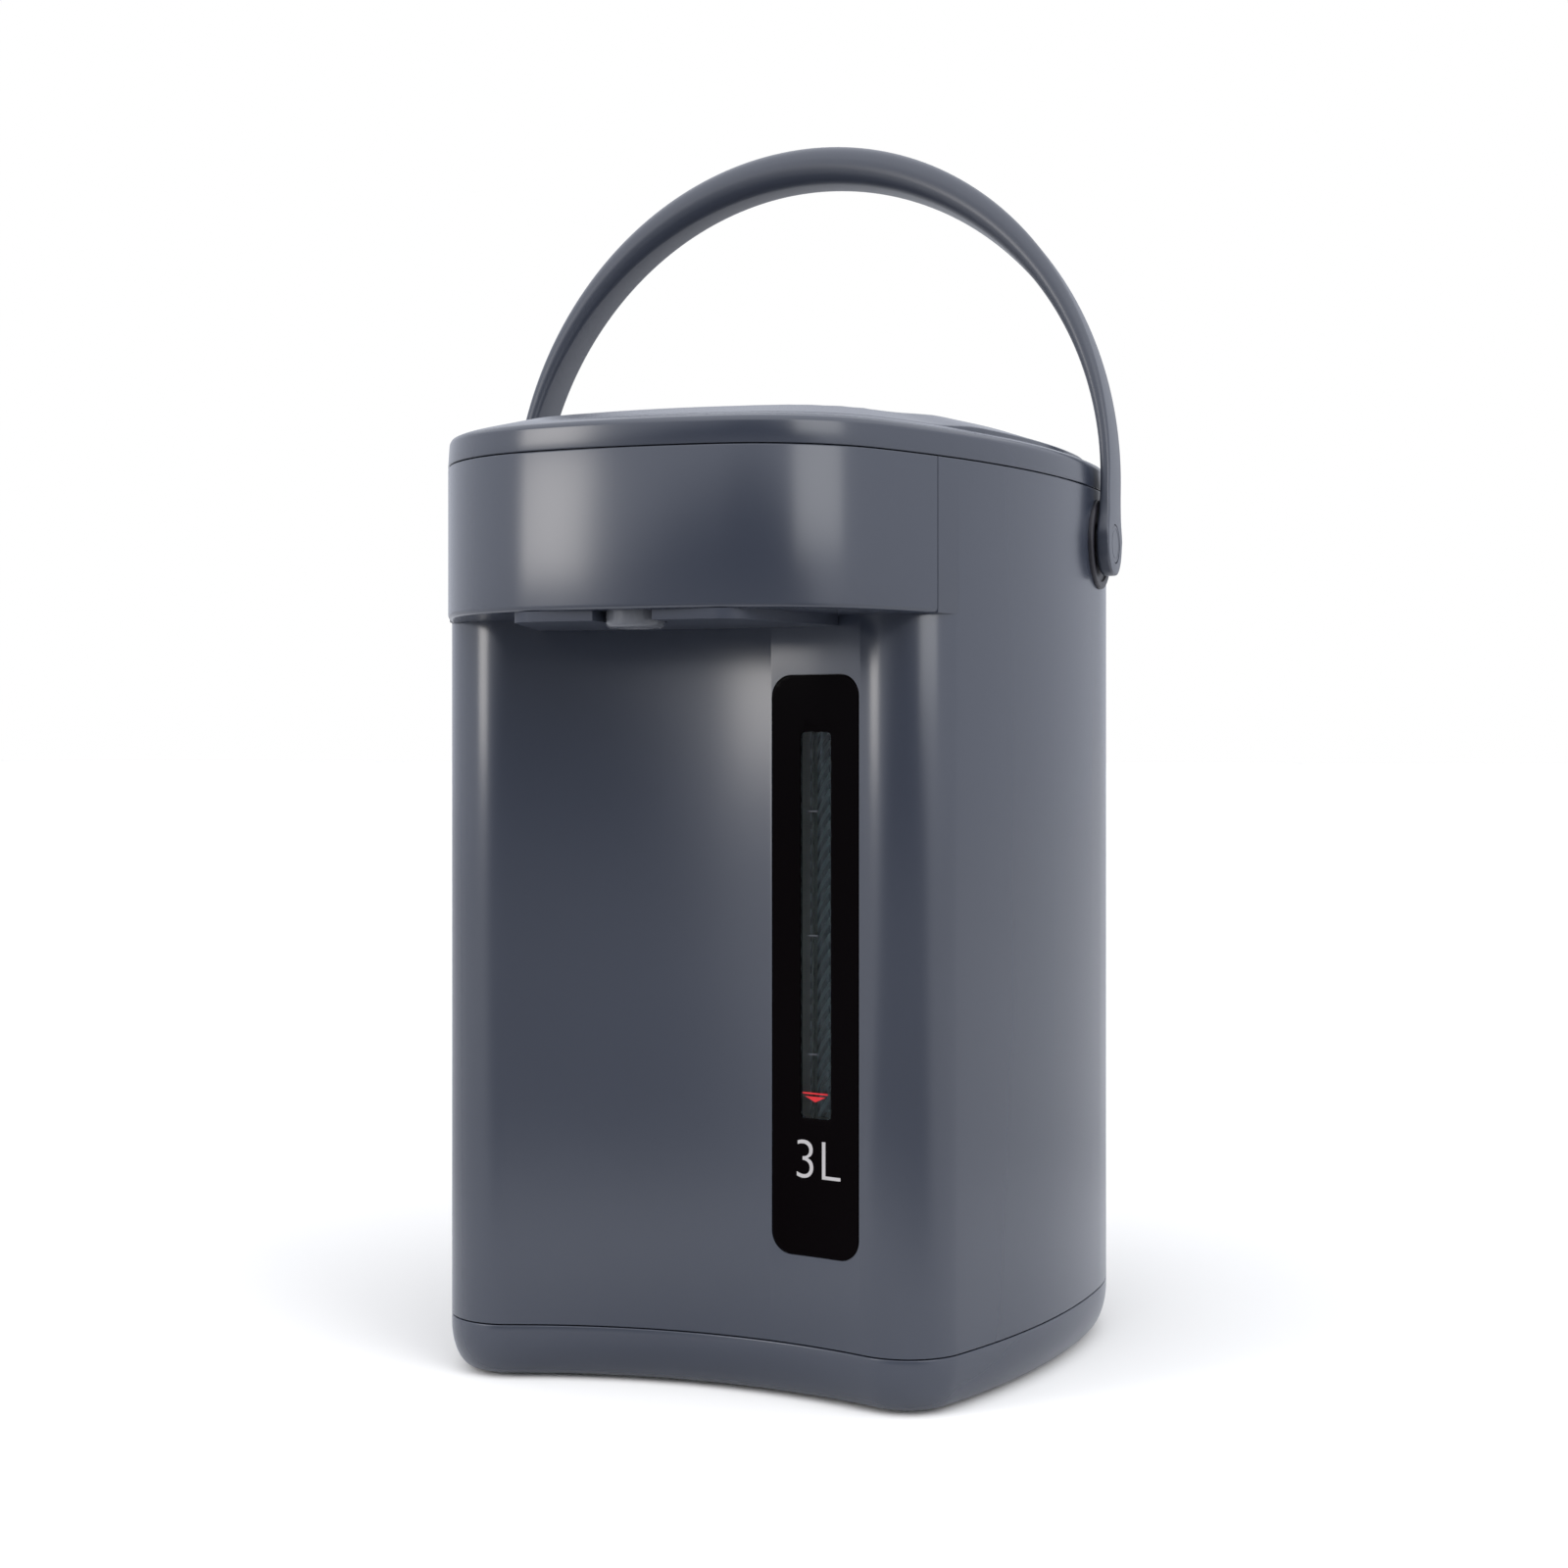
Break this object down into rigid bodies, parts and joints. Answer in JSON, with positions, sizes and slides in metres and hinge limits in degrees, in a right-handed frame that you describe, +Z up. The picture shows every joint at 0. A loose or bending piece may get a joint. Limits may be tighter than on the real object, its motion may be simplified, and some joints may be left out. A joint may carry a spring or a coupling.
{
  "type": "electric thermo pot",
  "caption": "Tall electric hot-water dispenser with a hollow front under an overhanging spout head, a side water gauge, a hinged lid and a swinging bail handle.",
  "frame": {"origin": "middle of the footprint's bounding box, on the surface the feet stand on", "axes": "+Z up, the spout and the gauge face -Y, +X is to the right when facing the front"},
  "size_m": [0.2172, 0.2636, 0.4061],
  "materials": {
    "casing": "satin, fine moulded grain",
    "handle": "satin, fine moulded grain",
    "dark_trim": "satin",
    "base_dark": "matt",
    "outlet_grey": "semi-gloss",
    "gauge_black": "high gloss",
    "window_clear": "clear, polished",
    "tube_glass": "clear",
    "backing_teal": "printed, satin",
    "panel_black": "semi-gloss film",
    "button_grey": "satin",
    "rubber_black": "matt",
    "silicone_clear": "translucent silicone",
    "silicone_grey": "silicone",
    "stainless": "brushed",
    "steel": "plated",
    "magnet": "sintered ferrite",
    "inner_plastic": "natural polypropylene",
    "board_green": "solder mask",
    "component_black": "moulded",
    "contact_brass": "plated",
    "felt": "mineral felt",
    "lead_sleeve": "glass-fibre sleeve",
    "mica_band": "mica in steel"
  },
  "bodies": {
    "pot": {"outer_shell": "casing", "head_cover": "casing", "base_skirt": "casing", "top_frame": "casing", "top_deck": "casing", "spout_panel": "casing", "pivot_rosettes": "dark_trim", "pivot_pins": "steel", "nozzle": "outlet_grey", "base_plate": "base_dark", "rubber_feet": "rubber_black", "gauge_panel": "gauge_black", "gauge_window": "window_clear", "gauge_tube": "tube_glass", "gauge_backing": "backing_teal", "control_overlay": "panel_black", "control_board": "board_green", "tact_switches": "component_black", "inner_container": "stainless", "mouth_collar": "inner_plastic", "support_ring": "inner_plastic", "heater_band": "mica_band", "insulation_jacket": "felt", "thermostat": "component_black", "thermal_fuse": "contact_brass", "pump_housing": "inner_plastic", "impeller_spindle": "steel", "motor_can": "steel", "motor_cradle": "inner_plastic", "suction_sleeve": "silicone_clear", "lower_elbow": "silicone_clear", "riser_hose": "silicone_clear", "anti_drip_valve": "inner_plastic", "spout_pipe": "inner_plastic", "hinge_pin": "steel", "power_inlet": "dark_trim", "inlet_pins": "contact_brass", "inlet_magnets": "steel", "power_board": "board_green", "board_parts": "component_black", "transformer": "component_black", "wiring": "lead_sleeve", "deck_screws": "steel", "board_screws": "steel", "base_screws": "steel"},
    "bail": {"bail_handle": "handle", "bail_caps": "handle"},
    "lid": {"lid_cap": "casing", "lid_plug": "inner_plastic", "steam_vent": "dark_trim", "lid_gasket": "silicone_grey", "lid_plate": "stainless", "latch_spring": "steel"},
    "lid_latch": {"latch_slider": "button_grey"},
    "dispense_key": {"dispense_button": "button_grey"},
    "unlock_key": {"unlock_button": "button_grey"},
    "reboil_key": {"reboil_button": "button_grey"},
    "motor_rotor": {"motor_shaft": "steel", "drive_magnet": "magnet"},
    "pump_impeller": {"impeller": "inner_plastic"}
  },
  "joints": [
    {"name": "bail_hinge", "type": "hinge", "parent": "pot", "child": "bail", "pos_m": [0, 0.02875, 0.264], "axis": [1, 0, 0], "range_deg": [-83.5, 60]},
    {"name": "lid_hinge", "type": "hinge", "parent": "pot", "child": "lid", "pos_m": [0, 0.11075, 0.291], "axis": [-1, 0, 0], "range_deg": [0, 42]},
    {"name": "latch_slide", "type": "slide", "parent": "lid", "child": "lid_latch", "axis": [0, 1, 0], "range_m": [0, 0.004], "stiffness_N_per_m": 300, "springref_m": -0.002, "deforming": ["latch_spring"]},
    {"name": "dispense_press", "type": "slide", "parent": "pot", "child": "dispense_key", "axis": [0, 0, -1], "range_m": [0, 0.0012], "stiffness_N_per_m": 800, "springref_m": -0.0005},
    {"name": "unlock_press", "type": "slide", "parent": "pot", "child": "unlock_key", "axis": [0, 0, -1], "range_m": [0, 0.0012], "stiffness_N_per_m": 800, "springref_m": -0.0005},
    {"name": "reboil_press", "type": "slide", "parent": "pot", "child": "reboil_key", "axis": [0, 0, -1], "range_m": [0, 0.0012], "stiffness_N_per_m": 800, "springref_m": -0.0005},
    {"name": "motor_spin", "type": "hinge", "parent": "pot", "child": "motor_rotor", "pos_m": [0.0278, -0.02125, 0.028], "axis": [0, 0, 1], "continuous": true},
    {"name": "impeller_spin", "type": "hinge", "parent": "pot", "child": "pump_impeller", "pos_m": [0.0278, -0.02125, 0.038], "axis": [0, 0, 1], "continuous": true}
  ],
  "couplings": [
    {"joint": "impeller_spin", "follows": "motor_spin", "ratio": 1}
  ]
}
